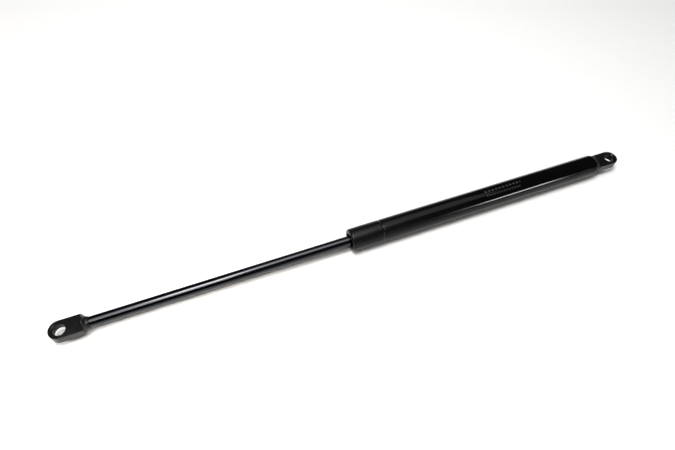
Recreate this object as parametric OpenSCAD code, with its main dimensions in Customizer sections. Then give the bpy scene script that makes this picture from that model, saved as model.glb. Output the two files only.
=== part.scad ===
// Gas strut stay for a window or shutter: a sealed tube, a sliding rod and a flat-sided eye at each end.
// +X runs from the tube eye to the rod eye, and +Z runs along both eye holes.
// The origin is the middle of the tube eye's hole. The rod is drawn fully out.
// All sizes are in millimetres.

/* [Overall] */
// Distance between the middles of the two eye holes, rod fully out
eye_distance = 460; // [380:1:700]
// Length of the pressure tube
tube_length = 232; // [225:1:320]
// Travel of the rod from fully out to fully in
stroke = 180; // [60:1:180]

/* [Tube] */
// Outer diameter of the tube
tube_diameter = 18; // [15:0.5:26]
// Wall thickness of the tube
tube_wall = 1.2; // [0.8:0.1:1.8]
// Outer radius of the rolled front end
front_roll = 1.9; // [1.4:0.1:2.4]
// Outer radius of the rolled rear end
rear_roll = 2.6; // [1.9:0.1:3.2]
// Diameter of the mouth that the front roll leaves around the rod
front_mouth = 11.6; // [10:0.1:13]
// Diameter of the opening that the rear roll leaves around the plug
rear_mouth = 11; // [9:0.1:12]
// Distance from the tube's front end to the middle of the retaining groove
groove_setback = 26.5; // [26:0.5:40]
// Depth of the retaining groove
groove_depth = 0.4; // [0.3:0.1:1]
// Width of the retaining groove at the tube's surface
groove_width = 2; // [1.6:0.1:5]

/* [Rod] */
// Diameter of the rod
rod_diameter = 8; // [6:0.5:10]
// Outside diameter of the stud that the rod eye is screwed on
stud_diameter = 6; // [4:0.5:6.5]
// Length of that stud
stud_length = 7; // [5:0.5:7.5]
// Diameter of the rod's turned inner end, which carries the piston
spigot_diameter = 5; // [3.5:0.5:5.5]
// Diameter of the peened head on the inner end
head_diameter = 6.6; // [5.8:0.1:8]
// Thickness of the peened head
head_thickness = 1.5; // [1:0.1:2]

/* [Eyes] */
// Width across an eye's tongue, and diameter of its collar
eye_width = 14; // [12:0.5:18]
// Thickness of the tongue between its flats
eye_thickness = 6.5; // [5:0.5:8]
// Diameter of the eye hole
eye_bore = 8.2; // [6.1:0.1:9]
// Chamfer at both mouths of the eye hole
bore_chamfer = 0.8; // [0.3:0.1:1.2]
// Distance from an eye hole to the rim of its collar
collar_rim = 15; // [11.5:0.1:15.5]
// How much larger the hollow shoulder's curve is than the collar's height over the flats
shoulder_extra = 0.15; // [0.1:0.05:0.5]
// Distance from the rod eye's hole to the seat face on the rod
rod_seat = 18.8; // [18.5:0.1:24]
// Width of the land between the rod eye's rim and its taper
collar_land = 0.3; // [0.1:0.1:1]
// Length of the steep taper behind the rod eye's collar
taper_length = 1.8; // [1:0.1:2.2]
// Wall left around the rod where the steep taper meets the neck
taper_rim = 0.9; // [0.5:0.1:1.2]
// Wall left around the rod at the end of the neck
neck_rim = 0.4; // [0.2:0.1:0.8]
// Distance from the tube eye's hole to the tube's rear end
tube_seat = 18; // [16:0.5:24]
// Diameter of the stem that holds the tube eye in the plug
stem_diameter = 6; // [4:0.5:7]
// Length of that stem
stem_length = 5; // [3:0.5:5.5]
// Section radius of the weld bead between the collar and the tube
bead_radius = 0.9; // [0.5:0.1:1.2]

/* [Guide and seal] */
// Thickness of the disc inside the rolled mouth
disc_thickness = 1.5; // [1:0.1:2]
// Thickness of the dust wiper
wiper_thickness = 2; // [1.5:0.1:3]
// Wall thickness of the guide's bearing sleeve
liner_wall = 0.9; // [0.5:0.1:1.2]
// Length of the lip seal
seal_length = 6.5; // [5.5:0.5:8]
// Thickness of the washer behind the seal
seal_washer_thickness = 2; // [1.2:0.1:3]
// Section diameter of the guide's ring seal
guide_ring_section = 2; // [1.5:0.1:2.2]

/* [Piston] */
// Length of the piston body
piston_length = 7; // [6:0.5:9]
// Width of the split piston ring
ring_width = 3; // [2:0.1:3.5]
// Radial thickness of the piston ring
ring_thickness = 1.6; // [1.2:0.1:2]
// Gap in the split piston ring
ring_gap = 0.8; // [0.4:0.1:1.5]
// Thickness of the washers at both sides of the piston
piston_washer_thickness = 1.6; // [1:0.1:2]
// Thickness of the orifice disc
valve_thickness = 1; // [0.6:0.1:1.2]
// Diameter of the bleed channels through the piston
bleed_diameter = 1.2; // [0.6:0.1:1.4]

/* [Rear plug] */
// Length of the plug inside the tube
plug_length = 6.5; // [6:0.5:8]
// Section diameter of the plug's ring seal
plug_ring_section = 1.8; // [1.5:0.1:2]

/* [Fits] */
// Radial clearance between the rod and what it slides in, and around the piston ring
running_gap = 0.05; // [0.02:0.01:0.09]
// Radial clearance between fixed pieces that sit in one another
seat_gap = 0.05; // [0.02:0.01:0.1]
// Axial clearance left between pieces that meet
end_gap = 0.05; // [0.02:0.01:0.1]

/* [Hidden] */
$fn = 96;
tube_radius = tube_diameter / 2;
inner_radius = tube_radius - tube_wall;
packed_radius = inner_radius - seat_gap;
rod_radius = rod_diameter / 2;
rear_x = tube_seat;
front_x = rear_x + tube_length;
groove_x = front_x - groove_setback;
front_mouth_radius = min(front_mouth / 2, tube_radius - front_roll - 0.3);
rear_mouth_radius = min(rear_mouth / 2, tube_radius - rear_roll - 0.3);
groove_radius = (groove_width * groove_width / 4 + groove_depth * groove_depth) / (2 * groove_depth);
groove_centre = tube_radius + groove_radius - groove_depth;
bead_reach = sqrt(pow(groove_radius + tube_wall, 2) - pow(groove_centre - inner_radius, 2));
lip_x = front_x - tube_wall;
washer_x = groove_x + bead_reach + end_gap;
seal_x = washer_x + seal_washer_thickness;
guide_x = seal_x + seal_length;
disc_x = lip_x - end_gap - disc_thickness;
wiper_x = disc_x - wiper_thickness;
guide_length = wiper_x - guide_x;
liner_radius = rod_radius + running_gap + liner_wall;
liner_length = guide_length - 2;
guide_ring = min(guide_ring_section, packed_radius - liner_radius - 0.6);
disc_bevel = front_roll - tube_wall + 0.15;
guide_ring_x = guide_x + 4;
plug_x = rear_x + tube_wall + end_gap;
plug_end = plug_x + plug_length;
plug_bevel = rear_roll - tube_wall + 0.15;
plug_ring_x = plug_x + (plug_length + plug_bevel) / 2;
piston_front = groove_x - bead_reach - end_gap;
shoulder_x = piston_front + piston_washer_thickness;
piston_back = piston_front - piston_length;
valve_x = piston_back - valve_thickness;
tail_washer_x = valve_x - piston_washer_thickness;
head_x = tail_washer_x - head_thickness;
piston_radius = inner_radius - 0.3;
piston_washer_radius = inner_radius - groove_depth - 0.7;
bleed_offset = (spigot_diameter / 2 + piston_radius - ring_thickness) / 2;
ring_x = piston_front - piston_length / 2;
ring_outer = inner_radius - running_gap;
ring_inner = ring_outer - ring_thickness;
rod_seat_x = eye_distance - rod_seat;
shoulder_curve = (eye_width - eye_thickness) / 2 + shoulder_extra;
corner_offset = [(eye_width + bead_radius) / 2 - tube_radius + rear_roll, rear_roll + end_gap];
bead_size = max(bead_radius, norm(corner_offset) - rear_roll + 0.25);

// Turns a profile drawn as (radius, distance along the strut) about the strut's axis.
module turned() {
    rotate([0, 90, 0])
        rotate_extrude()
            children();
}

// A plain ring from x0 to x1.
module ring(inner, outer, x0, x1) {
    turned()
        translate([inner, x0])
            square([outer - inner, x1 - x0]);
}

// A quarter of a bent wall, in the corner that faces away from the axis and towards +Y or -Y.
module bent_corner(outer, side) {
    intersection() {
        difference() {
            circle(r = outer);
            circle(r = outer - tube_wall);
        }
        translate([0, side > 0 ? 0 : -outer])
            square([outer, outer]);
    }
}

module tube_profile() {
    difference() {
        union() {
            translate([inner_radius, rear_x + rear_roll])
                square([tube_wall, tube_length - rear_roll - front_roll]);
            translate([tube_radius - rear_roll, rear_x + rear_roll])
                bent_corner(rear_roll, -1);
            translate([rear_mouth_radius, rear_x])
                square([tube_radius - rear_roll - rear_mouth_radius, tube_wall]);
            translate([tube_radius - front_roll, front_x - front_roll])
                bent_corner(front_roll, 1);
            translate([front_mouth_radius, lip_x])
                square([tube_radius - front_roll - front_mouth_radius, tube_wall]);
            intersection() {
                translate([groove_centre, groove_x])
                    circle(r = groove_radius + tube_wall);
                translate([inner_radius - 2, groove_x - 5])
                    square([2 + tube_wall / 2, 10]);
            }
        }
        translate([groove_centre, groove_x])
            circle(r = groove_radius);
    }
}

// Steel tube with both ends rolled in and one groove that holds the seal package.
module pressure_tube() {
    color([0.03, 0.03, 0.035])
        turned()
            tube_profile();
}

// Outline of an eye's tongue, from its round tip to below the collar.
module tongue_outline() {
    circle(d = eye_width);
    translate([0, -eye_width / 2])
        square([collar_rim, eye_width]);
}

// The hole of an eye with a chamfer at each mouth.
module eye_hole() {
    cylinder(h = eye_thickness + 2, d = eye_bore, center = true);
    for (side = [-1, 1])
        scale([1, 1, side])
            translate([0, 0, eye_thickness / 2 - bore_chamfer])
                cylinder(h = bore_chamfer * 2, d1 = eye_bore, d2 = eye_bore + bore_chamfer * 4);
}

// The start of a collar: a hollow shoulder that sweeps up from both flats to the collar's rim.
module shoulder_sweep() {
    difference() {
        translate([0, collar_rim - shoulder_curve])
            square([eye_width / 2, shoulder_curve + collar_land]);
        translate([eye_width / 2, collar_rim - shoulder_curve])
            circle(r = shoulder_curve);
    }
}

// Flat-sided eye on the tube, turned round where it meets the tube's rear end.
module tube_eye() {
    color([0.04, 0.04, 0.045])
        difference() {
            union() {
                linear_extrude(eye_thickness, center = true)
                    tongue_outline();
                turned()
                    shoulder_sweep();
                ring(0, eye_width / 2, collar_rim + collar_land / 2, tube_seat - end_gap);
                turned()
                    translate([0, tube_seat - 1])
                        square([stem_diameter / 2, stem_length + 1]);
            }
            eye_hole();
        }
}

// Weld bead that fills the corner between the collar and the tube's rounded end.
module rear_weld() {
    color([0.04, 0.04, 0.045])
        turned()
            difference() {
                translate([eye_width / 2 + bead_radius / 2, rear_x - end_gap])
                    circle(r = bead_size);
                translate([0, rear_x - 4])
                    square([eye_width / 2 + end_gap / 2, 8]);
                translate([0, rear_x - end_gap])
                    square([tube_radius - rear_roll, 4]);
                translate([tube_radius - rear_roll, rear_x + rear_roll])
                    circle(r = rear_roll + end_gap / 2);
            }
}

// Plug that closes the rear end, held by the rolled edge, with a blind hole for the eye's stem.
module rear_plug() {
    color([0.55, 0.56, 0.58])
        turned()
            difference() {
                union() {
                    polygon([
                        [0, plug_x],
                        [packed_radius - plug_bevel, plug_x],
                        [packed_radius, plug_x + plug_bevel],
                        [packed_radius, plug_end],
                        [0, plug_end],
                    ]);
                    translate([0, rear_x])
                        square([rear_mouth_radius - seat_gap, tube_wall + 1]);
                }
                translate([0, rear_x - 1])
                    square([stem_diameter / 2 + seat_gap, stem_length + 1 + end_gap]);
                translate([packed_radius - plug_ring_section, plug_ring_x - plug_ring_section / 2 - 0.15])
                    square([plug_ring_section + 1, plug_ring_section + 0.3]);
            }
}

// A ring seal of round section that touches the tube's inner wall.
module packed_oring(section, x) {
    turned()
        translate([packed_radius + seat_gap / 2 - section / 2, x])
            circle(d = section - seat_gap / 2);
}

module rear_oring() {
    color([0.06, 0.06, 0.06])
        packed_oring(plug_ring_section, plug_ring_x);
}

// Steel disc behind the rolled mouth, with the rod passing freely through it.
module end_disc() {
    color([0.12, 0.12, 0.13])
        turned()
            polygon([
                [rod_radius + 0.2, disc_x],
                [packed_radius, disc_x],
                [packed_radius, disc_x + disc_thickness - disc_bevel],
                [packed_radius - disc_bevel, disc_x + disc_thickness],
                [rod_radius + 0.2, disc_x + disc_thickness],
            ]);
}

// Wiper ring whose lip keeps dirt off the rod's seal.
module dust_wiper() {
    color([0.07, 0.07, 0.07])
        turned()
            polygon([
                [rod_radius + 0.6, wiper_x],
                [packed_radius, wiper_x],
                [packed_radius, wiper_x + wiper_thickness],
                [rod_radius + running_gap, wiper_x + wiper_thickness],
                [rod_radius + running_gap, wiper_x + wiper_thickness - 0.5],
            ]);
}

// Guide body, bored for its bearing sleeve and grooved for its ring seal.
module rod_guide() {
    color([0.7, 0.7, 0.68])
        turned()
            difference() {
                translate([rod_radius + 0.3, guide_x])
                    square([packed_radius - rod_radius - 0.3, guide_length]);
                translate([0, guide_x - 1])
                    square([liner_radius + seat_gap / 2, liner_length + 1]);
                translate([packed_radius - guide_ring, guide_ring_x - guide_ring / 2 - 0.15])
                    square([guide_ring + 1, guide_ring + 0.3]);
            }
}

// Bearing sleeve that the rod slides and turns in.
module guide_liner() {
    color([0.65, 0.45, 0.2])
        ring(rod_radius + running_gap, liner_radius, guide_x, guide_x + liner_length - end_gap);
}

module guide_oring() {
    color([0.06, 0.06, 0.06])
        packed_oring(guide_ring, guide_ring_x);
}

// Lip seal with a U-shaped groove open to the gas side.
module rod_seal() {
    color([0.08, 0.08, 0.08])
        turned()
            difference() {
                translate([rod_radius + running_gap, seal_x])
                    square([packed_radius - rod_radius - running_gap, seal_length]);
                translate([rod_radius, seal_x + 1.4])
                    square([0.35, seal_length]);
                translate([(rod_radius + packed_radius) / 2 - 0.8, seal_x - 1])
                    square([1.6, 1 + seal_length / 2 - 0.8]);
                translate([(rod_radius + packed_radius) / 2, seal_x + seal_length / 2 - 0.8])
                    circle(r = 0.8);
            }
}

// Round-section ring that spreads the lips of the seal.
module seal_energiser() {
    color([0.3, 0.08, 0.06])
        turned()
            translate([(rod_radius + packed_radius) / 2, seal_x + seal_length / 2 - 0.8])
                circle(r = 0.8 - seat_gap / 2);
}

// Washer between the seal and the groove's inner bead.
module seal_washer() {
    color([0.6, 0.61, 0.63])
        ring(rod_radius + 0.3, packed_radius, washer_x, seal_x);
}

// Rod with a stud at its outer end and a peened spigot at its inner end.
module piston_rod() {
    color([0.07, 0.07, 0.08])
        turned()
            polygon([
                [0, head_x],
                [head_diameter / 2 - 0.6, head_x],
                [head_diameter / 2, head_x + 0.6],
                [head_diameter / 2, tail_washer_x],
                [spigot_diameter / 2, tail_washer_x],
                [spigot_diameter / 2, shoulder_x],
                [rod_radius - 0.3, shoulder_x],
                [rod_radius, shoulder_x + 0.3],
                [rod_radius, rod_seat_x],
                [stud_diameter / 2, rod_seat_x],
                [stud_diameter / 2, rod_seat_x + stud_length - 0.5],
                [stud_diameter / 2 - 0.5, rod_seat_x + stud_length],
                [0, rod_seat_x + stud_length],
            ]);
}

// Flat-sided eye on the rod, with a round collar that tapers down to the rod.
module rod_eye() {
    color([0.04, 0.04, 0.045])
        translate([eye_distance, 0, 0])
            mirror([1, 0, 0])
                difference() {
                    union() {
                        linear_extrude(eye_thickness, center = true)
                            tongue_outline();
                        turned()
                            shoulder_sweep();
                        turned()
                            polygon([
                                [0, collar_rim + collar_land],
                                [eye_width / 2, collar_rim + collar_land],
                                [rod_radius + taper_rim, collar_rim + collar_land + taper_length],
                                [rod_radius + neck_rim, rod_seat - end_gap],
                                [0, rod_seat - end_gap],
                            ]);
                    }
                    eye_hole();
                    ring(0, stud_diameter / 2 + seat_gap, rod_seat - stud_length - 0.4, rod_seat + 1);
                }
}

// The bleed channels that let gas pass the piston.
module bleed_channels(extra) {
    for (side = [-1, 1])
        translate([0, side * bleed_offset, 0])
            rotate([0, 90, 0])
                cylinder(h = front_x, d = bleed_diameter + extra);
}

// Washer that takes the rod's shoulder when the rod reaches its outer stop.
module stop_washer() {
    color([0.6, 0.61, 0.63])
        difference() {
            ring(spigot_diameter / 2 + seat_gap, piston_washer_radius, piston_front, shoulder_x);
            bleed_channels(0.4);
        }
}

// Piston with a groove for its ring and two bleed channels.
module piston_body() {
    color([0.75, 0.74, 0.7])
        difference() {
            turned()
                difference() {
                    translate([spigot_diameter / 2 + seat_gap, piston_back])
                        square([piston_radius - spigot_diameter / 2 - seat_gap, piston_length]);
                    translate([ring_inner - 0.15, ring_x - ring_width / 2 - end_gap])
                        square([ring_thickness + 2, ring_width + 2 * end_gap]);
                }
            bleed_channels(0);
        }
}

// Split ring that seals the piston against the tube.
module piston_ring() {
    color([0.85, 0.83, 0.78])
        difference() {
            ring(ring_inner, ring_outer, ring_x - ring_width / 2, ring_x + ring_width / 2);
            translate([ring_x - ring_width, -ring_gap / 2, 0])
                cube([ring_width * 2, ring_gap, tube_radius]);
        }
}

// Thin disc whose orifices meter the gas.
module valve_disc() {
    color([0.55, 0.56, 0.58])
        difference() {
            ring(spigot_diameter / 2 + seat_gap, piston_washer_radius, valve_x, piston_back);
            bleed_channels(-0.4);
        }
}

// Washer under the peened end of the rod.
module piston_washer() {
    color([0.6, 0.61, 0.63])
        difference() {
            ring(spigot_diameter / 2 + seat_gap, piston_washer_radius, tail_washer_x, valve_x);
            bleed_channels(0.4);
        }
}

pressure_tube();
tube_eye();
rear_weld();
rear_plug();
rear_oring();
end_disc();
dust_wiper();
rod_guide();
guide_liner();
guide_oring();
rod_seal();
seal_energiser();
seal_washer();
piston_rod();
rod_eye();
stop_washer();
piston_body();
piston_ring();
valve_disc();
piston_washer();
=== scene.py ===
"""Gas strut stay: the visible pieces, their finishes and a plain studio around them."""

import math

import bpy
from bpy.props import FloatProperty, FloatVectorProperty, IntProperty, PointerProperty
from mathutils import Matrix, Vector


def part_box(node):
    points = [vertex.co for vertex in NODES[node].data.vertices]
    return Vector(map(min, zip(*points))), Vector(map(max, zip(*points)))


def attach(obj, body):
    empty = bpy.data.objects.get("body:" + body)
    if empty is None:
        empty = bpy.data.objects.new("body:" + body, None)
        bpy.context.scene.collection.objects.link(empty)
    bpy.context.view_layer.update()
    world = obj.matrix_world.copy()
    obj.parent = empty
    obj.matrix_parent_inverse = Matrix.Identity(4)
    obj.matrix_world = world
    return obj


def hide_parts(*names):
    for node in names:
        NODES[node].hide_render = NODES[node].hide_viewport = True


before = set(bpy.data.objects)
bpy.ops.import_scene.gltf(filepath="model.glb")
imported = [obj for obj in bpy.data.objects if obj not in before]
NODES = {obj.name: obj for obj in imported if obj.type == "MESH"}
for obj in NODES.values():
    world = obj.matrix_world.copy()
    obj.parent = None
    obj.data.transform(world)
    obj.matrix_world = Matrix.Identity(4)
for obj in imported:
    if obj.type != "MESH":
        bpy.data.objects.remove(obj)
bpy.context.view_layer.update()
MM = 0.001

bl_info = {
    "name": "Gas strut stay",
    "version": (1, 0, 0),
    "blender": (4, 5, 0),
    "location": "3D View > Sidebar > Strut",
    "description": "Builds the pieces of a gas strut stay around its packed frame",
    "category": "Object",
}


def low(node):
    """The lowest corner of a CAD node, in millimetres."""
    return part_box(node)[0] / MM


def high(node):
    """The highest corner of a CAD node, in millimetres."""
    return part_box(node)[1] / MM


TUBE_START = low("pressure_tube").x
TUBE_END = high("pressure_tube").x
TUBE_RADIUS = high("pressure_tube").z
ROD_RADIUS = high("piston_rod").z
ROD_TAIL = low("piston_rod").x
ROD_TIP = high("piston_rod").x
EYE_HALF_WIDTH = high("tube_eye").y
ROD_EYE_HOLE = high("rod_eye").x - EYE_HALF_WIDTH

# Small sizes that the frame doesn't give, in metres.
END_GAP = 0.05 * MM
SHOULDER_EXTRA = 0.15 * MM
STUD_RADIUS = 3.0 * MM
STUD_BORE = 3.05 * MM
STUD_BORE_DEPTH = 7.35 * MM
SPIGOT_RADIUS = 2.5 * MM
ROD_HEAD_RADIUS = 3.3 * MM
MOUTH_ROUND = 0.6 * MM
REAR_MOUTH_EDGE = 0.3 * MM
FAINT_RINGS = (5.6 * MM, 3.9 * MM)
FAINT_RING_DEPTH = 0.035 * MM
# Vertices closer than this, in metres, are merged.
MERGE = 2e-6
# The dip of the rolled groove reaches this share of the groove's width to each side of its middle.
GROOVE_REACH = 0.62


def length(name, description, default, least, most):
    """A size in metres, with its default and limits given in millimetres."""
    return FloatProperty(
        name=name,
        description=description,
        default=default * MM,
        min=least * MM,
        max=most * MM,
        unit="LENGTH",
        precision=5,
    )


def paint(name, description, default):
    """A linear colour."""
    return FloatVectorProperty(
        name=name,
        description=description,
        default=default,
        size=3,
        min=0.0,
        max=1.0,
        subtype="COLOR",
    )


# --------------------------------------------------------------------------- settings


class StrutSizes(bpy.types.PropertyGroup):
    """Sizes of the pieces that are modelled here."""

    tube_radius: length("Tube radius", "Outer radius of the tube", TUBE_RADIUS, 5, 20)
    tube_wall: length("Tube wall", "Wall thickness of the tube", 1.2, 0.5, 3)
    front_roll: length("Front roll", "Radius of the rolled front end", 1.9, 1, 4)
    rear_roll: length("Rear roll", "Radius of the rolled rear end", 2.6, 1, 4)
    front_mouth: length("Front mouth", "Radius of the rolled mouth around the rod", 5.8, 4, 8)
    rear_mouth: length("Rear mouth", "Radius of the opening around the plug", 5.5, 4, 8)
    groove_setback: length("Groove setback", "Middle of the groove from the front end", 26.5, 10, 60)
    groove_depth: length("Groove depth", "Depth of the rolled groove", 0.4, 0.1, 2)
    groove_width: length("Groove width", "Width of the rolled groove", 2.0, 1, 8)
    rod_radius: length("Rod radius", "Radius of the rod", ROD_RADIUS, 2, 8)
    eye_half_width: length("Eye half width", "Half the width of an eye", EYE_HALF_WIDTH, 4, 12)
    eye_thickness: length("Eye thickness", "Thickness between an eye's flats", 6.5, 3, 12)
    hole_radius: length("Hole radius", "Radius of an eye's hole", 4.1, 2, 8)
    hole_chamfer: length("Hole chamfer", "Chamfer at the mouths of a hole", 0.8, 0.1, 2)
    collar_rim: length("Collar rim", "From an eye's hole to the rim of its collar", 15, 8, 20)
    collar_land: length("Collar land", "Land between the rod eye's rim and its taper", 0.3, 0.1, 2)
    tube_seat: length("Tube seat", "From the tube eye's hole to the tube", TUBE_START, 10, 40)
    rod_seat: length("Rod seat", "From the rod eye's hole to the rod's shoulder", 18.8, 10, 40)
    collar_taper: length("Collar taper", "Length of the taper behind the rod eye's collar", 1.8, 1, 10)
    taper_rim: length("Taper rim", "Wall around the rod where the taper meets the neck", 0.9, 0.2, 3)
    neck_rim: length("Neck rim", "Wall around the rod at the end of the neck", 0.4, 0.1, 3)
    edge_round: length("Edge rounding", "Rounding of the eyes' edges", 0.35, 0.05, 1)


class StrutFinish(bpy.types.PropertyGroup):
    """Colours and gloss of the finishes."""

    tube_black: paint("Tube black", "Lacquer of the tube", (0.0014, 0.0014, 0.0016))
    eye_black: paint("Eye black", "Coating of the eyes", (0.004, 0.0041, 0.0043))
    rod_black: paint("Rod black", "Hardened skin of the rod", (0.032, 0.0325, 0.036))
    mark_grey: paint("Mark grey", "Ink of the plain printed bars", (0.024, 0.026, 0.026))
    steel: paint("Bare steel", "Washers and discs", (0.42, 0.42, 0.43))
    alloy: paint("Alloy", "Plug, guide and piston", (0.55, 0.55, 0.54))
    bronze: paint("Bronze", "Bearing sleeve", (0.5, 0.3, 0.12))
    rubber: paint("Rubber", "Seals", (0.012, 0.012, 0.012))
    red_rubber: paint("Red rubber", "Energiser of the seal", (0.16, 0.02, 0.015))
    plastic: paint("Pale plastic", "Piston ring", (0.7, 0.67, 0.58))
    floor: paint("Floor", "The pale floor", (0.86, 0.86, 0.86))


class StrutStudio(bpy.types.PropertyGroup):
    """Camera and lights."""

    lens: FloatProperty(name="Lens", description="Focal length in mm", default=26.67, min=10, max=200)
    roll: FloatProperty(
        name="Roll", description="Turn of the camera about its line of sight", default=math.radians(3.2),
        subtype="ANGLE",
    )
    station: FloatVectorProperty(
        name="Station", description="Where the camera stands", default=(0.3497, 0.1957, 0.3178),
        size=3, subtype="TRANSLATION", precision=4,
    )
    target: FloatVectorProperty(
        name="Target", description="What the camera looks at", default=(0.2532, -0.0172, 0.0),
        size=3, subtype="TRANSLATION", precision=4,
    )
    steps: IntProperty(name="Steps", description="Facets round a turned piece", default=144, min=24, max=256)


# --------------------------------------------------------------------------- modelling by hand


def start_clean():
    """Leaves edit mode and deselects everything."""
    if bpy.context.object and bpy.context.object.mode != "OBJECT":
        bpy.ops.object.mode_set(mode="OBJECT")
    bpy.ops.object.select_all(action="DESELECT")


def pick(piece):
    """Makes one piece the only selected and active one."""
    start_clean()
    piece.select_set(True)
    bpy.context.view_layer.objects.active = piece


def settle(piece):
    """Puts a piece's place into its mesh."""
    pick(piece)
    bpy.ops.object.transform_apply(location=True, rotation=True, scale=True)
    return piece


def arc(x, r, radius, start, end, count):
    """Points of an arc in the (along, out) plane, with angles in degrees from +X towards outwards."""
    turns = [math.radians(start + (end - start) * i / count) for i in range(count + 1)]
    return [(x + radius * math.cos(a), r + radius * math.sin(a)) for a in turns]


def turn(name, outline, steps=None):
    """Draws an outline of (along, out) points by extruding a vertex, then spins it about the axis."""
    steps = steps or bpy.context.scene.strut_studio.steps
    start_clean()
    x, r = outline[0]
    bpy.ops.mesh.primitive_plane_add(size=MM, location=(x, 0, r))
    piece = bpy.context.object
    piece.name = piece.data.name = name
    settle(piece)
    bpy.ops.object.mode_set(mode="EDIT")
    bpy.ops.mesh.select_mode(type="VERT")
    bpy.ops.mesh.select_all(action="SELECT")
    bpy.ops.mesh.merge(type="CENTER")
    for nx, nr in outline[1:]:
        bpy.ops.mesh.extrude_region_move(TRANSFORM_OT_translate={"value": (nx - x, 0, nr - r)})
        x, r = nx, nr
    bpy.ops.mesh.select_all(action="SELECT")
    bpy.ops.mesh.remove_doubles(threshold=MERGE)
    bpy.ops.mesh.select_all(action="SELECT")
    bpy.ops.mesh.spin(steps=steps, angle=math.tau, center=(0, 0, 0), axis=(1, 0, 0))
    bpy.ops.mesh.select_all(action="SELECT")
    bpy.ops.mesh.remove_doubles(threshold=MERGE)
    bpy.ops.mesh.normals_make_consistent(inside=False)
    bpy.ops.object.mode_set(mode="OBJECT")
    return piece


def finish_modifier(piece, kind, **settings):
    """Adds a modifier with these settings and applies it."""
    pick(piece)
    bpy.ops.object.modifier_add(type=kind)
    modifier = piece.modifiers[-1]
    for key, value in settings.items():
        setattr(modifier, key, value)
    bpy.ops.object.modifier_apply(modifier=modifier.name)
    return piece


def join_or_cut(piece, other, operation):
    """Joins another solid to a piece or cuts it out, then removes the other."""
    finish_modifier(piece, "BOOLEAN", operation=operation, object=other, solver="MANIFOLD")
    mesh = other.data
    bpy.data.objects.remove(other)
    bpy.data.meshes.remove(mesh)
    if not piece.data.polygons:
        raise RuntimeError(f"{piece.name} is empty after {operation}")
    return piece


def bevel_edges(piece, wanted, offset, segments):
    """Bevels the edges whose two ends pass a test."""
    pick(piece)
    bpy.ops.object.mode_set(mode="EDIT")
    bpy.ops.mesh.select_mode(type="EDGE")
    bpy.ops.mesh.select_all(action="DESELECT")
    bpy.ops.object.mode_set(mode="OBJECT")
    for edge in piece.data.edges:
        edge.select = wanted(*(piece.data.vertices[i].co for i in edge.vertices))
    if not any(edge.select for edge in piece.data.edges):
        raise RuntimeError(f"{piece.name} has no edge to bevel")
    bpy.ops.object.mode_set(mode="EDIT")
    bpy.ops.mesh.bevel(offset=offset, segments=segments, affect="EDGES")
    bpy.ops.object.mode_set(mode="OBJECT")


def smooth(piece, degrees=32):
    """Smooth shading that keeps edges sharper than the angle, with the large faces setting the normals."""
    pick(piece)
    bpy.ops.object.shade_smooth_by_angle(angle=math.radians(degrees))
    return finish_modifier(piece, "WEIGHTED_NORMAL", mode="FACE_AREA", weight=100, keep_sharp=True)


def dress(piece, finish, body, slot, *nodes):
    """Gives a piece its finish and its body, and hides the CAD nodes it stands for; the slot is not used."""
    piece.data.materials.clear()
    piece.data.materials.append(finish)
    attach(piece, body)
    if nodes:
        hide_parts(*nodes)


# --------------------------------------------------------------------------- finishes


def new_group(name, inputs, outputs):
    """An empty shader node group with named sockets."""
    group = bpy.data.node_groups.new(name, "ShaderNodeTree")
    for label, kind, default in inputs:
        socket = group.interface.new_socket(label, in_out="INPUT", socket_type=kind)
        if default is not None:
            socket.default_value = default
    for label, kind in outputs:
        group.interface.new_socket(label, in_out="OUTPUT", socket_type=kind)
    enter = group.nodes.new("NodeGroupInput")
    leave = group.nodes.new("NodeGroupOutput")
    return group, enter, leave


def wire(tree, pairs):
    """Links each source socket to its sink."""
    for source, sink in pairs:
        tree.links.new(source, sink)


def math_node(tree, operation, a, b=None, clamp=False):
    """The result of a maths operation on numbers or sockets."""
    node = tree.nodes.new("ShaderNodeMath")
    node.operation = operation
    node.use_clamp = clamp
    for socket, value in zip(node.inputs, (a, b)):
        if isinstance(value, bpy.types.NodeSocket):
            tree.links.new(value, socket)
        elif value is not None:
            socket.default_value = value
    return node.outputs[0]


def ramp(tree, value, start, end, at_start=0.0, at_end=1.0):
    """A value that goes from at_start to at_end as another goes from start to end, and no further."""
    node = tree.nodes.new("ShaderNodeMapRange")
    node.clamp = True
    tree.links.new(value, node.inputs["Value"])
    for key, number in (("From Min", start), ("From Max", end), ("To Min", at_start), ("To Max", at_end)):
        node.inputs[key].default_value = number
    return node.outputs["Result"]


def noise(tree, where, scale, detail):
    """A noise value between 0 and 1."""
    node = tree.nodes.new("ShaderNodeTexNoise")
    node.inputs["Scale"].default_value = scale
    node.inputs["Detail"].default_value = detail
    node.inputs["Roughness"].default_value = 0.55
    tree.links.new(where, node.inputs["Vector"])
    return node.outputs["Fac"]


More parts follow.
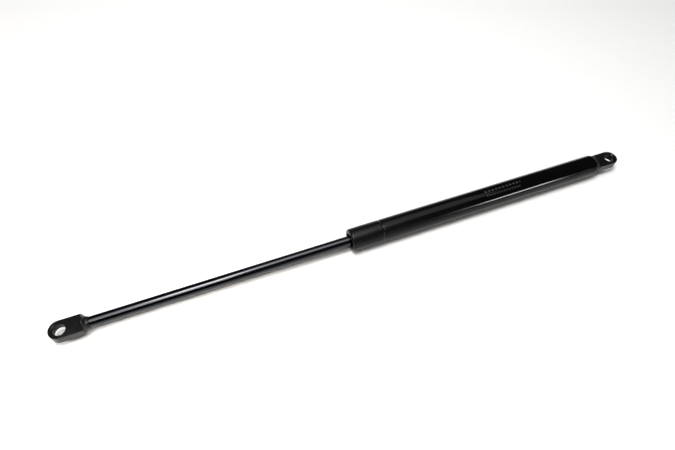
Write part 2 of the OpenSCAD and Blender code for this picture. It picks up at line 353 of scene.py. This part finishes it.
def group_surface_life():
    """Soft cloudiness, fine grain and pale dust specks, from a piece's own coordinates."""
    group, enter, leave = new_group(
        "surface life",
        [("Vector", "NodeSocketVector", None), ("Cloud Scale", "NodeSocketFloat", 60.0),
         ("Grain Scale", "NodeSocketFloat", 2500.0), ("Dust Amount", "NodeSocketFloat", 0.3)],
        [("Cloud", "NodeSocketFloat"), ("Grain", "NodeSocketFloat"), ("Dust", "NodeSocketFloat")],
    )
    cloud = group.nodes.new("ShaderNodeTexNoise")
    cloud.inputs["Detail"].default_value = 4.0
    grain = group.nodes.new("ShaderNodeTexNoise")
    grain.inputs["Detail"].default_value = 2.0
    speck = group.nodes.new("ShaderNodeTexVoronoi")
    speck.inputs["Scale"].default_value = 900.0
    wire(group, [
        (enter.outputs["Vector"], cloud.inputs["Vector"]),
        (enter.outputs["Cloud Scale"], cloud.inputs["Scale"]),
        (enter.outputs["Vector"], grain.inputs["Vector"]),
        (enter.outputs["Grain Scale"], grain.inputs["Scale"]),
        (enter.outputs["Vector"], speck.inputs["Vector"]),
    ])
    dot = ramp(group, speck.outputs["Distance"], 0.05, 0.13, 1.0, 0.0)
    patch = ramp(group, noise(group, enter.outputs["Vector"], 130.0, 3.0), 0.56, 0.68)
    specks = math_node(group, "MULTIPLY", dot, patch)
    dust = math_node(group, "MULTIPLY", specks, enter.outputs["Dust Amount"])
    wire(group, [
        (cloud.outputs["Fac"], leave.inputs["Cloud"]),
        (grain.outputs["Fac"], leave.inputs["Grain"]),
        (dust, leave.inputs["Dust"]),
    ])
    return group


def group_edge_wear():
    """A mask that is 1 on worn outer edges, broken up by noise."""
    group, enter, leave = new_group(
        "edge wear",
        [("Vector", "NodeSocketVector", None), ("Start", "NodeSocketFloat", 0.52),
         ("Breakup Scale", "NodeSocketFloat", 700.0)],
        [("Mask", "NodeSocketFloat")],
    )
    geometry = group.nodes.new("ShaderNodeNewGeometry")
    above = math_node(group, "SUBTRACT", geometry.outputs["Pointiness"], enter.outputs["Start"])
    edge = math_node(group, "MULTIPLY", above, 14.0, clamp=True)
    broken = group.nodes.new("ShaderNodeTexNoise")
    broken.inputs["Detail"].default_value = 3.0
    wire(group, [
        (enter.outputs["Vector"], broken.inputs["Vector"]),
        (enter.outputs["Breakup Scale"], broken.inputs["Scale"]),
    ])
    mask = math_node(group, "MULTIPLY", edge, ramp(group, broken.outputs["Fac"], 0.4, 0.62))
    group.links.new(mask, leave.inputs["Mask"])
    return group


def group_turning_marks():
    """Fine rings left by turning or grinding about the strut's axis."""
    group, enter, leave = new_group(
        "turning marks",
        [("Vector", "NodeSocketVector", None), ("Pitch", "NodeSocketFloat", 2200.0)],
        [("Rings", "NodeSocketFloat"), ("Drag", "NodeSocketFloat")],
    )
    apart = group.nodes.new("ShaderNodeSeparateXYZ")
    group.links.new(enter.outputs["Vector"], apart.inputs[0])
    along = math_node(group, "MULTIPLY", apart.outputs["X"], enter.outputs["Pitch"])
    ring = group.nodes.new("ShaderNodeTexNoise")
    ring.noise_dimensions = "1D"
    ring.inputs["Detail"].default_value = 2.0
    ring.inputs["Scale"].default_value = 1.0
    group.links.new(along, ring.inputs["W"])
    stretch = group.nodes.new("ShaderNodeMapping")
    stretch.inputs["Scale"].default_value = (12.0, 900.0, 900.0)
    group.links.new(enter.outputs["Vector"], stretch.inputs["Vector"])
    drag = noise(group, stretch.outputs["Vector"], 1.0, 2.0)
    wire(group, [(ring.outputs["Fac"], leave.inputs["Rings"]), (drag, leave.inputs["Drag"])])
    return group


def begin_material(name, colour, roughness, metallic=0.0):
    """A material with its own Principled shader and the piece's own coordinates."""
    material = bpy.data.materials.new(name)
    material.use_nodes = True
    tree = material.node_tree
    shader = tree.nodes["Principled BSDF"]
    shader.inputs["Base Color"].default_value = (*colour, 1)
    shader.inputs["Roughness"].default_value = roughness
    shader.inputs["Metallic"].default_value = metallic
    where = tree.nodes.new("ShaderNodeTexCoord").outputs["Object"]
    return material, tree, shader, where


def place_group(tree, group, where, **values):
    """Puts a shared group into a material with its own values."""
    node = tree.nodes.new("ShaderNodeGroup")
    node.node_tree = group
    tree.links.new(where, node.inputs["Vector"])
    for key, value in values.items():
        node.inputs[key.replace("_", " ")].default_value = value
    return node


def mix_colour(tree, mask, a, b):
    """Mixes two colours, each a colour or a socket."""
    node = tree.nodes.new("ShaderNodeMix")
    node.data_type = "RGBA"
    for socket, value in ((node.inputs[6], a), (node.inputs[7], b)):
        if isinstance(value, bpy.types.NodeSocket):
            tree.links.new(value, socket)
        else:
            socket.default_value = (*value, 1)
    tree.links.new(mask, node.inputs[0])
    return node.outputs[2]


def bump(tree, shader, height, strength, distance):
    """Drives the shader's normal from a height."""
    node = tree.nodes.new("ShaderNodeBump")
    node.inputs["Strength"].default_value = strength
    node.inputs["Distance"].default_value = distance
    tree.links.new(height, node.inputs["Height"])
    tree.links.new(node.outputs["Normal"], shader.inputs["Normal"])


def lighter(colour, factor, add=0.0):
    """A colour scaled and raised, and no brighter than white."""
    return tuple(min(1.0, c * factor + add) for c in colour)


def uneven(tree, value, gloss, start=0.3, end=0.7):
    """A roughness that swings about a middle value with a noise."""
    return ramp(tree, value, start, end, gloss * 0.8, gloss * 1.3)


DUST = (0.3, 0.29, 0.27)
PALE_DUST = (0.35, 0.34, 0.32)
# Over this stretch the tube turns dull with painted sheen, from before the groove to just past it, in
# metres.
DULL_AND_SHEEN_BEFORE, DULL_AND_SHEEN_PAST = 0.09, 0.025
# How much rougher the dull stretch and the printed bars are.
DULL_ROUGHNESS, INK_ROUGHNESS = 0.17, 0.25


def lacquer(name, colour, life, wear, gloss, grain_depth=0.02 * MM, specular=0.18, dull_and_sheen_at=None, ink=None):
    """Black stoving lacquer: slightly wavy, with a little dust and rubbed edges."""
    material, tree, shader, where = begin_material(name, colour, gloss)
    shader.inputs["Specular IOR Level"].default_value = specular
    seen = place_group(tree, life, where, Cloud_Scale=55.0, Grain_Scale=1500.0, Dust_Amount=0.12)
    rubbed = place_group(tree, wear, where, Start=0.53)
    base = mix_colour(tree, seen.outputs["Cloud"], lighter(colour, 0.75), lighter(colour, 1.35))
    base = mix_colour(tree, rubbed.outputs["Mask"], base, lighter(colour, 3.0, 0.012))
    base = mix_colour(tree, seen.outputs["Dust"], base, DUST)
    rough = uneven(tree, seen.outputs["Cloud"], gloss, 0.35, 0.65)
    apart = tree.nodes.new("ShaderNodeSeparateXYZ")
    tree.links.new(where, apart.inputs[0])
    if dull_and_sheen_at is not None:
        dull_and_sheen = ramp(tree, apart.outputs["X"], dull_and_sheen_at - DULL_AND_SHEEN_BEFORE, dull_and_sheen_at + DULL_AND_SHEEN_PAST)
        rough = math_node(tree, "ADD", rough, math_node(tree, "MULTIPLY", dull_and_sheen, DULL_ROUGHNESS))
        # Painted sheen: over the dull stretch the colour is made lighter to stand for a soft reflection of
        # the overhead light.
        base = mix_colour(tree, dull_and_sheen, base, lighter(colour, 2.0, 0.001))
    if ink is not None:
        bars = printed_bars(tree, apart)
        base = mix_colour(tree, bars, base, ink)
        rough = math_node(tree, "ADD", rough, math_node(tree, "MULTIPLY", bars, INK_ROUGHNESS))
    tree.links.new(base, shader.inputs["Base Color"])
    tree.links.new(rough, shader.inputs["Roughness"])
    waves = math_node(tree, "MULTIPLY", seen.outputs["Cloud"], 3.0)
    height = math_node(tree, "ADD", seen.outputs["Grain"], waves)
    bump(tree, shader, height, 0.25, grain_depth)
    return material


# Each row of bars: its start and end along the tube and its pitch in metres, the inked share of the
# pitch, and the lowest and highest angle about the axis in radians.
BAR_ROWS = (
    (0.0965, 0.1325, 0.0034, 0.62, 1.48, 1.66),
    (0.0975, 0.1310, 0.0024, 0.55, 1.08, 1.24),
)


def printed_bars(tree, apart):
    """Two rows of plain short bars along the tube, a generic stand-in for printed data."""
    along = apart.outputs["X"]
    angle = math_node(tree, "ARCTAN2", apart.outputs["Z"], apart.outputs["Y"])
    rows = None
    for start, end, pitch, inked, lowest, highest in BAR_ROWS:
        beat = math_node(tree, "FRACT", math_node(tree, "DIVIDE", along, pitch))
        mask = math_node(tree, "LESS_THAN", beat, inked)
        for value, limit, kind in (
            (along, start, "GREATER_THAN"), (along, end, "LESS_THAN"),
            (angle, lowest, "GREATER_THAN"), (angle, highest, "LESS_THAN"),
        ):
            mask = math_node(tree, "MULTIPLY", mask, math_node(tree, kind, value, limit))
        rows = mask if rows is None else math_node(tree, "MAXIMUM", rows, mask)
    return rows


def hardened_steel(name, colour, life, marks, gloss):
    """Dark nitrided steel, ground round the rod and drawn along it by use."""
    material, tree, shader, where = begin_material(name, colour, gloss, 1.0)
    seen = place_group(tree, life, where, Cloud_Scale=45.0, Grain_Scale=3000.0, Dust_Amount=0.15)
    ground = place_group(tree, marks, where, Pitch=1800.0)
    base = mix_colour(tree, seen.outputs["Cloud"], lighter(colour, 0.8), lighter(colour, 1.25))
    drawn = math_node(tree, "MULTIPLY", ground.outputs["Drag"], 0.35)
    base = mix_colour(tree, drawn, base, lighter(colour, 1.8))
    base = mix_colour(tree, seen.outputs["Dust"], base, DUST)
    rough = uneven(tree, ground.outputs["Drag"], gloss)
    tree.links.new(base, shader.inputs["Base Color"])
    tree.links.new(rough, shader.inputs["Roughness"])
    bump(tree, shader, ground.outputs["Rings"], 0.15, 0.008 * MM)
    return material


def turned_metal(name, colour, life, marks, gloss):
    """Bare turned metal."""
    material, tree, shader, where = begin_material(name, colour, gloss, 1.0)
    seen = place_group(tree, life, where, Cloud_Scale=120.0, Grain_Scale=4000.0, Dust_Amount=0.0)
    rings = place_group(tree, marks, where, Pitch=5000.0)
    base = mix_colour(tree, seen.outputs["Cloud"], lighter(colour, 0.85), lighter(colour, 1.1))
    tree.links.new(base, shader.inputs["Base Color"])
    tree.links.new(uneven(tree, rings.outputs["Rings"], gloss), shader.inputs["Roughness"])
    bump(tree, shader, rings.outputs["Rings"], 0.3, 0.01 * MM)
    return material


def soft_stuff(name, colour, life, roughness):
    """Rubber or moulded plastic with a fine matt grain."""
    material, tree, shader, where = begin_material(name, colour, roughness)
    seen = place_group(tree, life, where, Cloud_Scale=200.0, Grain_Scale=5000.0, Dust_Amount=0.1)
    base = mix_colour(tree, seen.outputs["Cloud"], lighter(colour, 0.8), lighter(colour, 1.2))
    base = mix_colour(tree, seen.outputs["Dust"], base, PALE_DUST)
    tree.links.new(base, shader.inputs["Base Color"])
    rough = ramp(tree, seen.outputs["Grain"], 0.3, 0.7, roughness * 0.85, min(1.0, roughness * 1.15))
    tree.links.new(rough, shader.inputs["Roughness"])
    bump(tree, shader, seen.outputs["Grain"], 0.3, 0.02 * MM)
    return material


FINISHES = {}


def make_finishes():
    """Builds every finish once."""
    colours = bpy.context.scene.strut_finish
    groove = TUBE_END * MM - bpy.context.scene.strut_sizes.groove_setback
    life, wear, marks = group_surface_life(), group_edge_wear(), group_turning_marks()
    tube_black, eye_black = tuple(colours.tube_black), tuple(colours.eye_black)
    FINISHES["tube"] = lacquer(
        "tube lacquer", tube_black, life, wear, gloss=0.11, dull_and_sheen_at=groove, ink=tuple(colours.mark_grey)
    )
    FINISHES["eye"] = lacquer(
        "eye coating", eye_black, life, wear, gloss=0.27, grain_depth=0.05 * MM, specular=0.24
    )
    FINISHES["weld"] = lacquer(
        "lacquered weld", tube_black, life, wear, gloss=0.22, grain_depth=0.15 * MM
    )
    FINISHES["rod"] = hardened_steel("nitrided rod", tuple(colours.rod_black), life, marks, gloss=0.16)
    FINISHES["steel"] = turned_metal("bare steel", tuple(colours.steel), life, marks, gloss=0.3)
    FINISHES["alloy"] = turned_metal("turned alloy", tuple(colours.alloy), life, marks, gloss=0.35)
    FINISHES["bronze"] = turned_metal("bronze sleeve", tuple(colours.bronze), life, marks, gloss=0.3)
    FINISHES["rubber"] = soft_stuff("black rubber", tuple(colours.rubber), life, roughness=0.6)
    FINISHES["red_rubber"] = soft_stuff("red rubber", tuple(colours.red_rubber), life, roughness=0.55)
    FINISHES["plastic"] = soft_stuff("pale plastic", tuple(colours.plastic), life, roughness=0.45)


INNER_FINISH = {
    "rear_plug": "alloy", "rear_oring": "rubber", "end_disc": "rod", "dust_wiper": "rubber",
    "rod_guide": "alloy", "guide_liner": "bronze", "guide_oring": "rubber", "rod_seal": "rubber",
    "seal_energiser": "red_rubber", "seal_washer": "steel", "stop_washer": "steel",
    "piston_body": "alloy", "piston_ring": "plastic", "valve_disc": "steel", "piston_washer": "steel",
}


# --------------------------------------------------------------------------- pieces


def groove_dip(s, middle, radius, count, direction):
    """The rolled groove as a smooth dip in a wall of this radius, drawn along +X or back."""
    reach = s.groove_width * GROOVE_REACH
    points = []
    for i in range(count + 1):
        along = direction * (2 * i / count - 1)
        dip = s.groove_depth * 0.5 * (1 + math.cos(math.pi * along))
        points.append((middle + along * reach, radius - dip))
    return points


def faint_ring(middle, radius):
    """A shallow ring pressed into the tube's skin."""
    foot, floor = 0.35 * MM, 0.15 * MM
    deep = radius - FAINT_RING_DEPTH
    return [(middle - foot, radius), (middle - floor, deep), (middle + floor, deep), (middle + foot, radius)]


def tube_outline(s):
    """The tube's wall as a closed loop: outer skin from the rear to the front, then back inside."""
    start, end = s.tube_seat, TUBE_END * MM
    radius, wall = s.tube_radius, s.tube_wall
    groove = end - s.groove_setback
    rear_centre = (start + s.rear_roll, radius - s.rear_roll)
    front_centre = (end - s.front_roll, radius - s.front_roll)
    loop = [(start, s.rear_mouth + REAR_MOUTH_EDGE), (start, radius - s.rear_roll)]
    loop += arc(*rear_centre, s.rear_roll, 180, 90, 14)[1:]
    loop += groove_dip(s, groove, radius, 24, 1)
    for setback in FAINT_RINGS:
        loop += faint_ring(end - setback, radius)
    loop += arc(*front_centre, s.front_roll, 90, 0, 12)
    loop += arc(end - MOUTH_ROUND, s.front_mouth + MOUTH_ROUND, MOUTH_ROUND, 0, -90, 6)
    loop += [(end - wall, s.front_mouth), (end - wall, radius - s.front_roll)]
    loop += arc(*front_centre, s.front_roll - wall, 0, 90, 4)[1:]
    loop += groove_dip(s, groove, radius - wall, 12, -1)
    loop += arc(*rear_centre, s.rear_roll - wall, 90, 180, 4)
    loop += [(start + wall, s.rear_mouth), (start + REAR_MOUTH_EDGE, s.rear_mouth),
             (start, s.rear_mouth + REAR_MOUTH_EDGE)]
    return loop


class STRUT_OT_tube(bpy.types.Operator):
    """Turns the pressure tube with its rolled ends and its groove"""

    bl_idname = "strut.tube"
    bl_label = "Tube"

    def execute(self, context):
        piece = turn("tube_shell", tube_outline(context.scene.strut_sizes))
        smooth(piece, 50)
        dress(piece, FINISHES["tube"], "barrel", "black_paint", "pressure_tube")
        return {"FINISHED"}


def eye_solid(s, name, collar):
    """An eye whose hole is at the origin, with its collar towards +X."""
    half, flat = s.eye_half_width, s.eye_thickness / 2
    start_clean()
    bpy.ops.mesh.primitive_cube_add(size=1, location=((s.collar_rim - half) / 2, 0, 0))
    piece = bpy.context.object
    piece.name = piece.data.name = name
    piece.scale = (s.collar_rim + half, 2 * half, s.eye_thickness)
    settle(piece)

    def outer_corner(a, b):
        """One of the two upright edges at the eye's outer end."""
        return abs(a.z - b.z) > MM and a.x < 0

    def rim(a, b):
        """An edge round a flat, except where the flat ends at the collar."""
        near = 1e-6
        on_flat = abs(abs(a.z) - flat) < near and abs(a.z - b.z) < near
        last = s.collar_rim - 10 * near
        return on_flat and not (a.x > last and b.x > last)

    # Just short of half the width, so that the two round corners leave an edge between them.
    bevel_edges(piece, outer_corner, half * 0.9999, 40)
    bpy.ops.object.mode_set(mode="EDIT")
    bpy.ops.mesh.select_all(action="SELECT")
    bpy.ops.mesh.remove_doubles(threshold=2 * MERGE)
    bpy.ops.object.mode_set(mode="OBJECT")
    bevel_edges(piece, rim, s.edge_round, 4)
    return join_or_cut(piece, turn(name + "_collar", collar, 96), "UNION")


def hole_cutter(s):
    """A cutter for an eye's hole, with a chamfer at each mouth, standing along Z."""
    flat, r = s.eye_thickness / 2, s.hole_radius
    wide = r + s.hole_chamfer
    foot = flat - s.hole_chamfer
    over, flare = 2 * MM, 0.4 * MM
    soft, lip = 0.1 * MM, 0.12 * MM
    mouth = [(foot - soft, r), (foot + soft, r + soft), (flat - lip, wide - lip / 2), (flat, wide + lip),
             (flat + over, wide + flare), (flat + over, 0)]
    cutter = turn("hole_cutter", [(-x, out) for x, out in reversed(mouth)] + mouth, 96)
    pick(cutter)
    cutter.rotation_euler = (0, -math.pi / 2, 0)
    return settle(cutter)


def shoulder(s):
    """The hollow shoulder that sweeps up from the flats to the collar's rim."""
    half, flat = s.eye_half_width, s.eye_thickness / 2
    sweep = half - flat + SHOULDER_EXTRA
    foot = s.collar_rim - sweep
    hollow = arc(foot, half, sweep, -90, -4, 20)
    rim = [(s.collar_rim + 0.06 * MM, half - 0.06 * MM), (s.collar_rim + 0.2 * MM, half)]
    return [(foot, 0), *hollow, *rim]


class STRUT_OT_tube_eye(bpy.types.Operator):
    """Models the eye on the closed end of the tube"""

    bl_idname = "strut.tube_eye"
    bl_label = "Tube eye"

    def execute(self, context):
        s = context.scene.strut_sizes
        seat = s.tube_seat - END_GAP
        stem, stem_end = 3 * MM, seat + 5 * MM
        collar = shoulder(s) + [(seat, s.eye_half_width), (seat, stem), (stem_end, stem), (stem_end, 0)]
        piece = eye_solid(s, "tube_eye_body", collar)
        join_or_cut(piece, hole_cutter(s), "DIFFERENCE")
        smooth(piece, 28)
        dress(piece, FINISHES["eye"], "barrel", "black_eye", "tube_eye")
        return {"FINISHED"}


def taper_and_bore(s):
    """The rod eye's collar behind its rim: rim, taper with a hollow foot, neck, and the stud's bore."""
    half, seat = s.eye_half_width, s.rod_seat - END_GAP
    back = s.collar_rim + s.collar_land
    foot = back + s.collar_taper
    wide, small = s.rod_radius + s.taper_rim, s.rod_radius + s.neck_rim
    bore_end = seat - STUD_BORE_DEPTH
    rim = [(back, half), (back + 0.1 * MM, half - 0.05 * MM), (back + 0.22 * MM, half - 0.2 * MM)]
    taper = [(foot - 0.5 * MM, wide + 0.62 * MM), (foot - 0.22 * MM, wide + 0.32 * MM),
             (foot + 0.05 * MM, wide + 0.1 * MM), (foot + 0.4 * MM, wide - 0.06 * MM)]
    neck = [(seat - 0.4 * MM, small + 0.06 * MM), (seat - 0.15 * MM, small - 0.03 * MM),
            (seat, small - 0.16 * MM)]
    bore = [(seat, STUD_BORE), (bore_end, STUD_BORE), (bore_end, 0)]
    return rim + taper + neck + bore


class STRUT_OT_rod_eye(bpy.types.Operator):
    """Models the eye on the rod, with its tapered collar"""

    bl_idname = "strut.rod_eye"
    bl_label = "Rod eye"

    def execute(self, context):
        s = context.scene.strut_sizes
        piece = eye_solid(s, "rod_eye_body", shoulder(s) + taper_and_bore(s))
        join_or_cut(piece, hole_cutter(s), "DIFFERENCE")
        pick(piece)
        piece.rotation_euler = (0, 0, math.pi)
        piece.location = (ROD_EYE_HOLE * MM, 0, 0)
        settle(piece)
        smooth(piece, 28)
        dress(piece, FINISHES["eye"], "rod", "black_eye", "rod_eye")
        return {"FINISHED"}


class STRUT_OT_weld(bpy.types.Operator):
    """Lays the weld bead where the tube eye's collar meets the tube"""

    bl_idname = "strut.weld"
    bl_label = "Weld bead"

    def execute(self, context):
        s = context.scene.strut_sizes
        bead = 0.72 * MM
        middle, out = s.tube_seat - 0.1 * MM, s.eye_half_width + 0.42 * MM
        piece = turn("weld_bead", arc(middle, out, bead, 0, 360, 14), 240)
        smooth(piece, 60)
        for vertex in piece.data.vertices:
            angle = math.atan2(vertex.co.z, vertex.co.y)
            ripple = 1 + 0.012 * math.sin(34 * angle) + 0.008 * math.sin(13 * angle + 1.0)
            vertex.co.y *= ripple
            vertex.co.z *= ripple
        dress(piece, FINISHES["weld"], "barrel", "black_paint", "rear_weld")
        return {"FINISHED"}


def rod_outline(s):
    """The rod from its peened inner end, over the spigot and the shoulder, to the stud."""
    tail, tip = ROD_TAIL * MM, ROD_TIP * MM
    head_face = low("piston_washer").x * MM
    step = high("stop_washer").x * MM
    seat = ROD_EYE_HOLE * MM - s.rod_seat
    r, peen, stud_chamfer = s.rod_radius, 0.9 * MM, 0.5 * MM
    head = [(tail, 0), (tail, ROD_HEAD_RADIUS - 1.2 * MM),
            *arc(tail + peen, ROD_HEAD_RADIUS - peen, peen, 180, 90, 5), (head_face, ROD_HEAD_RADIUS)]
    spigot = [(head_face, SPIGOT_RADIUS), (step, SPIGOT_RADIUS)]
    shaft = [(step, r - 0.3 * MM), (step + 0.3 * MM, r), (seat - 0.45 * MM, r),
             (seat - 0.15 * MM, r - 0.1 * MM), (seat, r - 0.35 * MM)]
    stud = [(seat, STUD_RADIUS), (tip - stud_chamfer, STUD_RADIUS),
            (tip, STUD_RADIUS - stud_chamfer), (tip, 0)]
    return head + spigot + shaft + stud


class STRUT_OT_rod(bpy.types.Operator):
    """Turns the rod with its stud and its peened inner end"""

    bl_idname = "strut.rod"
    bl_label = "Rod"

    def execute(self, context):
        piece = turn("rod_shaft", rod_outline(context.scene.strut_sizes))
        smooth(piece, 40)
        dress(piece, FINISHES["rod"], "rod", "dark_rod", "piston_rod")
        return {"FINISHED"}


class STRUT_OT_inner(bpy.types.Operator):
    """Gives the pieces inside the tube their finishes"""

    bl_idname = "strut.inner"
    bl_label = "Inner pieces"

    def execute(self, context):
        for node, finish in INNER_FINISH.items():
            piece = NODES[node]
            piece.data.materials.clear()
            piece.data.materials.append(FINISHES[finish])
        return {"FINISHED"}


# --------------------------------------------------------------------------- stage


WHITE = (1.0, 1.0, 1.0)
COOL_WHITE = (0.98, 0.99, 1.0)
CORE_WHITE = (1.0, 0.99, 0.96)
SOFT_WARM = (1.0, 0.97, 0.92)
WARM = (1.0, 0.93, 0.84)
ROOM_BLUE = (0.9, 0.92, 1.0, 1)


def softbox(name, at, towards, size, power, colour, spread=180.0):
    """A rectangular light that faces a point, with its spread in degrees."""
    light = bpy.data.lights.new(name, "AREA")
    light.shape = "RECTANGLE"
    light.size, light.size_y = size
    light.energy = power
    light.color = colour
    light.spread = math.radians(spread)
    lamp = bpy.data.objects.new(name, light)
    lamp.location = at
    lamp.rotation_euler = (Vector(towards) - Vector(at)).to_track_quat("-Z", "Y").to_euler()
    bpy.context.scene.collection.objects.link(lamp)


def lay_floor(colour):
    """A pale floor under the strut, with a faint grain."""
    start_clean()
    bpy.ops.mesh.primitive_plane_add(size=2.4, location=(0.23, 0.0, -TUBE_RADIUS * MM))
    floor = settle(bpy.context.object)
    floor.name = floor.data.name = "floor"
    material, tree, shader, where = begin_material("pale floor", colour, 0.9)
    shader.inputs["Specular IOR Level"].default_value = 0.1
    shade = mix_colour(tree, noise(tree, where, 40.0, 4.0), colour, lighter(colour, 0.985))
    tree.links.new(shade, shader.inputs["Base Color"])
    floor.data.materials.append(material)


def hang_lights():
    """Large softboxes overhead and to the side, two small fills for the rod and two for the tube."""
    softbox("wide overhead softbox", (0.37, -0.02, 1.05), (0.37, -0.02, 0.0), (0.80, 0.55), 6, COOL_WHITE)
    softbox("bright overhead core", (0.41, 0.00, 1.0), (0.41, -0.02, 0.0), (0.24, 0.32), 6, CORE_WHITE)
    softbox("far overhead softbox", (-0.14, -0.32, 1.15), (-0.14, -0.25, 0.0), (0.9, 1.1), 4.2, COOL_WHITE)
    softbox("side softbox", (1.75, 0.45, 1.55), (0.25, 0.0, 0.0), (0.8, 0.5), 10, WARM)
    softbox("rod fill", (0.46, 0.142, 0.345), (0.46, 0.0, 0.0), (0.26, 0.07), 0.095, SOFT_WARM, 64.0)
    softbox("rod side fill", (0.15, 0.125, 0.33), (0.42, 0.0, 0.0), (0.08, 0.08), 0.06, SOFT_WARM, 40.0)
    softbox("window", (-0.50, 0.87, 0.23), (0.115, 0.0, 0.0), (0.22, 0.14), 3.0, WHITE)
    softbox("faint front strip", (-0.45, 1.0, 0.17), (0.1, 0.0, 0.0), (1.4, 0.12), 0.4, WHITE)


def dim_room(scene):
    """A faint even light from all round, and a plain rendering of colours."""
    world = bpy.data.worlds.new("dim room")
    world.use_nodes = True
    background = world.node_tree.nodes["Background"]
    background.inputs["Color"].default_value = ROOM_BLUE
    background.inputs["Strength"].default_value = 0.035
    scene.world = world
    scene.view_settings.view_transform = "Standard"
    scene.view_settings.exposure = 0.0


def place_camera(scene, studio):
    """The camera at its station, turned to its target and rolled."""
    data = bpy.data.cameras.new("camera")
    data.sensor_width = 36
    data.lens = studio.lens
    data.clip_start = 0.01
    camera = bpy.data.objects.new("camera", data)
    look = (Vector(studio.target) - Vector(studio.station)).to_track_quat("-Z", "Y")
    turn_about = Matrix.Rotation(studio.roll, 4, "Z")
    camera.matrix_world = Matrix.Translation(studio.station) @ look.to_matrix().to_4x4() @ turn_about
    scene.collection.objects.link(camera)
    scene.camera = camera


class STRUT_OT_stage(bpy.types.Operator):
    """Sets up the pale floor, the soft lights and the camera"""

    bl_idname = "strut.stage"
    bl_label = "Stage"

    def execute(self, context):
        scene = context.scene
        lay_floor(tuple(scene.strut_finish.floor))
        hang_lights()
        dim_room(scene)
        place_camera(scene, scene.strut_studio)
        return {"FINISHED"}


class STRUT_PT_panel(bpy.types.Panel):
    """Lists the steps that build the strut"""

    bl_label = "Gas strut stay"
    bl_idname = "STRUT_PT_panel"
    bl_space_type = "VIEW_3D"
    bl_region_type = "UI"
    bl_category = "Strut"

    def draw(self, context):
        column = self.layout.column(align=True)
        for step in STEPS:
            column.operator(step.bl_idname)
        for group in (context.scene.strut_sizes, context.scene.strut_finish, context.scene.strut_studio):
            box = self.layout.box()
            for key in group.bl_rna.properties.keys():
                if key not in ("rna_type", "name"):
                    box.prop(group, key)


STEPS = (
    STRUT_OT_tube, STRUT_OT_tube_eye, STRUT_OT_weld, STRUT_OT_rod, STRUT_OT_rod_eye, STRUT_OT_inner,
    STRUT_OT_stage,
)
CLASSES = (StrutSizes, StrutFinish, StrutStudio, *STEPS, STRUT_PT_panel)


def register():
    """Registers the classes and hangs the settings on the scene."""
    for item in CLASSES:
        bpy.utils.register_class(item)
    bpy.types.Scene.strut_sizes = PointerProperty(type=StrutSizes)
    bpy.types.Scene.strut_finish = PointerProperty(type=StrutFinish)
    bpy.types.Scene.strut_studio = PointerProperty(type=StrutStudio)


def unregister():
    """Takes the settings and the classes away again."""
    for name in ("strut_sizes", "strut_finish", "strut_studio"):
        delattr(bpy.types.Scene, name)
    for item in reversed(CLASSES):
        bpy.utils.unregister_class(item)


def main():
    """Builds the strut and its stage."""
    register()
    make_finishes()
    bpy.ops.strut.tube()
    bpy.ops.strut.tube_eye()
    bpy.ops.strut.weld()
    bpy.ops.strut.rod()
    bpy.ops.strut.rod_eye()
    bpy.ops.strut.inner()
    bpy.ops.strut.stage()
    start_clean()


if __name__ == "__main__":
    main()
